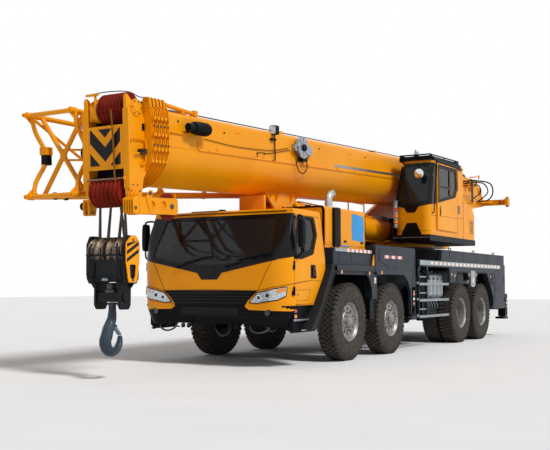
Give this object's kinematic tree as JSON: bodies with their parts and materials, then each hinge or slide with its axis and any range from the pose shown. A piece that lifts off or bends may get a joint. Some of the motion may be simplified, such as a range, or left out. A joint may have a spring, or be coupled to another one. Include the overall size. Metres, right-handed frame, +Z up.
{
  "type": "mobile crane",
  "caption": "Truck-mounted mobile crane with a telescopic boom, operator cab, outriggers and hook block on a multi-axle carrier.",
  "frame": {"origin": "middle of the footprint of the whole crane, on the ground", "axes": "+Z up, -Y to the front of the carrier, +X to its left side"},
  "size_m": [2.78, 13.1786, 3.8212],
  "materials": {
    "yellow_paint": "gloss",
    "grey_paint": "satin",
    "black_plastic": "matte",
    "tyre": "matte",
    "wheel_steel": "satin",
    "glass": "gloss",
    "chrome": "polished",
    "galvanised": "matte",
    "cast_steel": "satin",
    "seat_cloth": "matte"
  },
  "bodies": {
    "carrier": {"frame": "grey_paint", "slew_ring": "cast_steel", "boom_rest": "yellow_paint", "front_deck": "grey_paint", "rear_deck": "grey_paint", "cab_shell": "yellow_paint", "windscreen": "glass", "cab_interior": "seat_cloth", "front_bumper": "black_plastic", "engine_hood": "yellow_paint", "engine_block": "cast_steel", "fuel_tank": "galvanised", "access_ladder": "galvanised", "axle_1": "grey_paint", "axle_2": "grey_paint", "rear_bogie": "grey_paint"},
    "knuckle_1_left": {"knuckle_1_left": "grey_paint"},
    "wheel_1_left": {"tyre_1_left": "tyre", "rim_1_left": "wheel_steel"},
    "knuckle_1_right": {"knuckle_1_right": "grey_paint"},
    "wheel_1_right": {"tyre_1_right": "tyre", "rim_1_right": "wheel_steel"},
    "knuckle_2_left": {"knuckle_2_left": "grey_paint"},
    "wheel_2_left": {"tyre_2_left": "tyre", "rim_2_left": "wheel_steel"},
    "knuckle_2_right": {"knuckle_2_right": "grey_paint"},
    "wheel_2_right": {"tyre_2_right": "tyre", "rim_2_right": "wheel_steel"},
    "wheel_3_left": {"twin_wheel_3_left": "tyre"},
    "wheel_3_right": {"twin_wheel_3_right": "tyre"},
    "wheel_4_left": {"twin_wheel_4_left": "tyre"},
    "wheel_4_right": {"twin_wheel_4_right": "tyre"},
    "door_left": {"door_left": "yellow_paint"},
    "door_right": {"door_right": "yellow_paint"},
    "outrigger_beam_front_left": {"outrigger_beam_front_left": "grey_paint"},
    "outrigger_jack_front_left": {"outrigger_jack_front_left": "chrome"},
    "outrigger_beam_front_right": {"outrigger_beam_front_right": "grey_paint"},
    "outrigger_jack_front_right": {"outrigger_jack_front_right": "chrome"},
    "outrigger_beam_rear_left": {"outrigger_beam_rear_left": "grey_paint"},
    "outrigger_jack_rear_left": {"outrigger_jack_rear_left": "chrome"},
    "outrigger_beam_rear_right": {"outrigger_beam_rear_right": "grey_paint"},
    "outrigger_jack_rear_right": {"outrigger_jack_rear_right": "chrome"},
    "upper_works": {"turntable": "yellow_paint", "operator_cab": "yellow_paint", "operator_windscreen": "glass", "operator_seat": "seat_cloth"},
    "operator_door": {"operator_door": "yellow_paint"},
    "main_winch": {"main_winch": "cast_steel"},
    "aux_winch": {"aux_winch": "cast_steel"},
    "boom_base": {"boom_base": "yellow_paint", "jib": "yellow_paint"},
    "boom_section_2": {"boom_section_2": "yellow_paint"},
    "boom_section_3": {"boom_section_3": "yellow_paint"},
    "boom_section_4": {"boom_section_4": "yellow_paint"},
    "boom_section_5": {"boom_section_5": "yellow_paint"},
    "lift_barrel": {"lift_cylinder_barrel": "yellow_paint"},
    "lift_rod": {"lift_cylinder_rod": "chrome"},
    "hook_block": {"hook_block": "cast_steel"},
    "hook": {"hook": "cast_steel"}
  },
  "joints": [
    {"name": "slewing", "type": "hinge", "parent": "carrier", "child": "upper_works", "pos_m": [0, 2.48929, 1.9], "axis": [0, 0, 1], "continuous": true},
    {"name": "boom_luff", "type": "hinge", "parent": "upper_works", "child": "boom_base", "pos_m": [0, 4.58929, 3.25], "axis": [-1, 0, 0], "range_deg": [0, 78]},
    {"name": "telescope_2", "type": "slide", "parent": "boom_base", "child": "boom_section_2", "axis": [0, -0.9989, -0.0471], "range_m": [0, 8.9]},
    {"name": "telescope_3", "type": "slide", "parent": "boom_section_2", "child": "boom_section_3", "axis": [0, -0.9989, -0.0471], "range_m": [0, 8.9]},
    {"name": "telescope_4", "type": "slide", "parent": "boom_section_3", "child": "boom_section_4", "axis": [0, -0.9989, -0.0471], "range_m": [0, 8.9]},
    {"name": "telescope_5", "type": "slide", "parent": "boom_section_4", "child": "boom_section_5", "axis": [0, -0.9989, -0.0471], "range_m": [0, 8.9]},
    {"name": "lift_cylinder_pivot", "type": "hinge", "parent": "upper_works", "child": "lift_barrel", "pos_m": [0, 2.08929, 2.2], "axis": [-1, 0, 0], "range_deg": [0, 89.53]},
    {"name": "lift_cylinder_stroke", "type": "slide", "parent": "lift_barrel", "child": "lift_rod", "axis": [0, -0.9997, 0.0236], "range_m": [0, 3.2026]},
    {"name": "hook_block_hang", "type": "hinge", "parent": "boom_section_5", "child": "hook_block", "pos_m": [0, -6.36161, 2.26805], "axis": [-1, 0, 0], "range_deg": [-78.2, 0]},
    {"name": "hook_swivel", "type": "hinge", "parent": "hook_block", "child": "hook", "pos_m": [0, -6.36161, 0.6], "axis": [0, 0, 1], "continuous": true},
    {"name": "main_winch_turn", "type": "hinge", "parent": "upper_works", "child": "main_winch", "pos_m": [0, 5.63929, 3.45], "axis": [1, 0, 0], "continuous": true},
    {"name": "aux_winch_turn", "type": "hinge", "parent": "upper_works", "child": "aux_winch", "pos_m": [0, 6.27929, 3.4], "axis": [1, 0, 0], "continuous": true},
    {"name": "operator_door_slide", "type": "slide", "parent": "upper_works", "child": "operator_door", "axis": [0, 1, 0], "range_m": [0, 0.75]},
    {"name": "door_left_hinge", "type": "hinge", "parent": "carrier", "child": "door_left", "pos_m": [1.268, -4.11071, 1.4], "axis": [0, 0, -1], "range_deg": [0, 65]},
    {"name": "door_right_hinge", "type": "hinge", "parent": "carrier", "child": "door_right", "pos_m": [-1.268, -4.11071, 1.4], "axis": [0, 0, 1], "range_deg": [0, 65]},
    {"name": "steer_1_left", "type": "hinge", "parent": "carrier", "child": "knuckle_1_left", "pos_m": [0.9, -2.41071, 0.59], "axis": [0, 0, 1], "range_deg": [-33, 33]},
    {"name": "spin_1_left", "type": "hinge", "parent": "knuckle_1_left", "child": "wheel_1_left", "pos_m": [1.15, -2.41071, 0.59], "axis": [1, 0, 0], "continuous": true},
    {"name": "steer_1_right", "type": "hinge", "parent": "carrier", "child": "knuckle_1_right", "pos_m": [-0.9, -2.41071, 0.59], "axis": [0, 0, 1], "range_deg": [-33.2, 33.2]},
    {"name": "spin_1_right", "type": "hinge", "parent": "knuckle_1_right", "child": "wheel_1_right", "pos_m": [-1.15, -2.41071, 0.59], "axis": [1, 0, 0], "continuous": true},
    {"name": "steer_2_left", "type": "hinge", "parent": "carrier", "child": "knuckle_2_left", "pos_m": [0.9, -0.83071, 0.59], "axis": [0, 0, 1], "range_deg": [-24.2, 24.2]},
    {"name": "spin_2_left", "type": "hinge", "parent": "knuckle_2_left", "child": "wheel_2_left", "pos_m": [1.15, -0.83071, 0.59], "axis": [1, 0, 0], "continuous": true},
    {"name": "steer_2_right", "type": "hinge", "parent": "carrier", "child": "knuckle_2_right", "pos_m": [-0.9, -0.83071, 0.59], "axis": [0, 0, 1], "range_deg": [-24.2, 24.2]},
    {"name": "spin_2_right", "type": "hinge", "parent": "knuckle_2_right", "child": "wheel_2_right", "pos_m": [-1.15, -0.83071, 0.59], "axis": [1, 0, 0], "continuous": true},
    {"name": "spin_3_left", "type": "hinge", "parent": "carrier", "child": "wheel_3_left", "pos_m": [1.012, 2.66929, 0.59], "axis": [1, 0, 0], "continuous": true},
    {"name": "spin_3_right", "type": "hinge", "parent": "carrier", "child": "wheel_3_right", "pos_m": [-1.012, 2.66929, 0.59], "axis": [1, 0, 0], "continuous": true},
    {"name": "spin_4_left", "type": "hinge", "parent": "carrier", "child": "wheel_4_left", "pos_m": [1.012, 3.98929, 0.59], "axis": [1, 0, 0], "continuous": true},
    {"name": "spin_4_right", "type": "hinge", "parent": "carrier", "child": "wheel_4_right", "pos_m": [-1.012, 3.98929, 0.59], "axis": [1, 0, 0], "continuous": true},
    {"name": "beam_out_front_left", "type": "slide", "parent": "carrier", "child": "outrigger_beam_front_left", "axis": [1, 0, 0], "range_m": [0, 2.1]},
    {"name": "jack_down_front_left", "type": "slide", "parent": "outrigger_beam_front_left", "child": "outrigger_jack_front_left", "axis": [0, 0, -1], "range_m": [0, 0.45]},
    {"name": "beam_out_front_right", "type": "slide", "parent": "carrier", "child": "outrigger_beam_front_right", "axis": [-1, 0, 0], "range_m": [0, 2.1]},
    {"name": "jack_down_front_right", "type": "slide", "parent": "outrigger_beam_front_right", "child": "outrigger_jack_front_right", "axis": [0, 0, -1], "range_m": [0, 0.45]},
    {"name": "beam_out_rear_left", "type": "slide", "parent": "carrier", "child": "outrigger_beam_rear_left", "axis": [1, 0, 0], "range_m": [0, 2.1]},
    {"name": "jack_down_rear_left", "type": "slide", "parent": "outrigger_beam_rear_left", "child": "outrigger_jack_rear_left", "axis": [0, 0, -1], "range_m": [0, 0.45]},
    {"name": "beam_out_rear_right", "type": "slide", "parent": "carrier", "child": "outrigger_beam_rear_right", "axis": [-1, 0, 0], "range_m": [0, 2.1]},
    {"name": "jack_down_rear_right", "type": "slide", "parent": "outrigger_beam_rear_right", "child": "outrigger_jack_rear_right", "axis": [0, 0, -1], "range_m": [0, 0.45]}
  ],
  "couplings": [
    {"joint": "telescope_3", "follows": "telescope_2", "ratio": 1},
    {"joint": "telescope_4", "follows": "telescope_2", "ratio": 1},
    {"joint": "telescope_5", "follows": "telescope_2", "ratio": 1},
    {"joint": "lift_cylinder_pivot", "follows": "boom_luff", "ratio": 1.1453},
    {"joint": "lift_cylinder_stroke", "follows": "boom_luff", "m_per_rad": 2.3488},
    {"joint": "hook_block_hang", "follows": "boom_luff", "ratio": -1},
    {"joint": "steer_1_right", "follows": "steer_1_left", "ratio": 1},
    {"joint": "steer_2_left", "follows": "steer_1_left", "ratio": 0.72},
    {"joint": "steer_2_right", "follows": "steer_1_left", "ratio": 0.72}
  ]
}
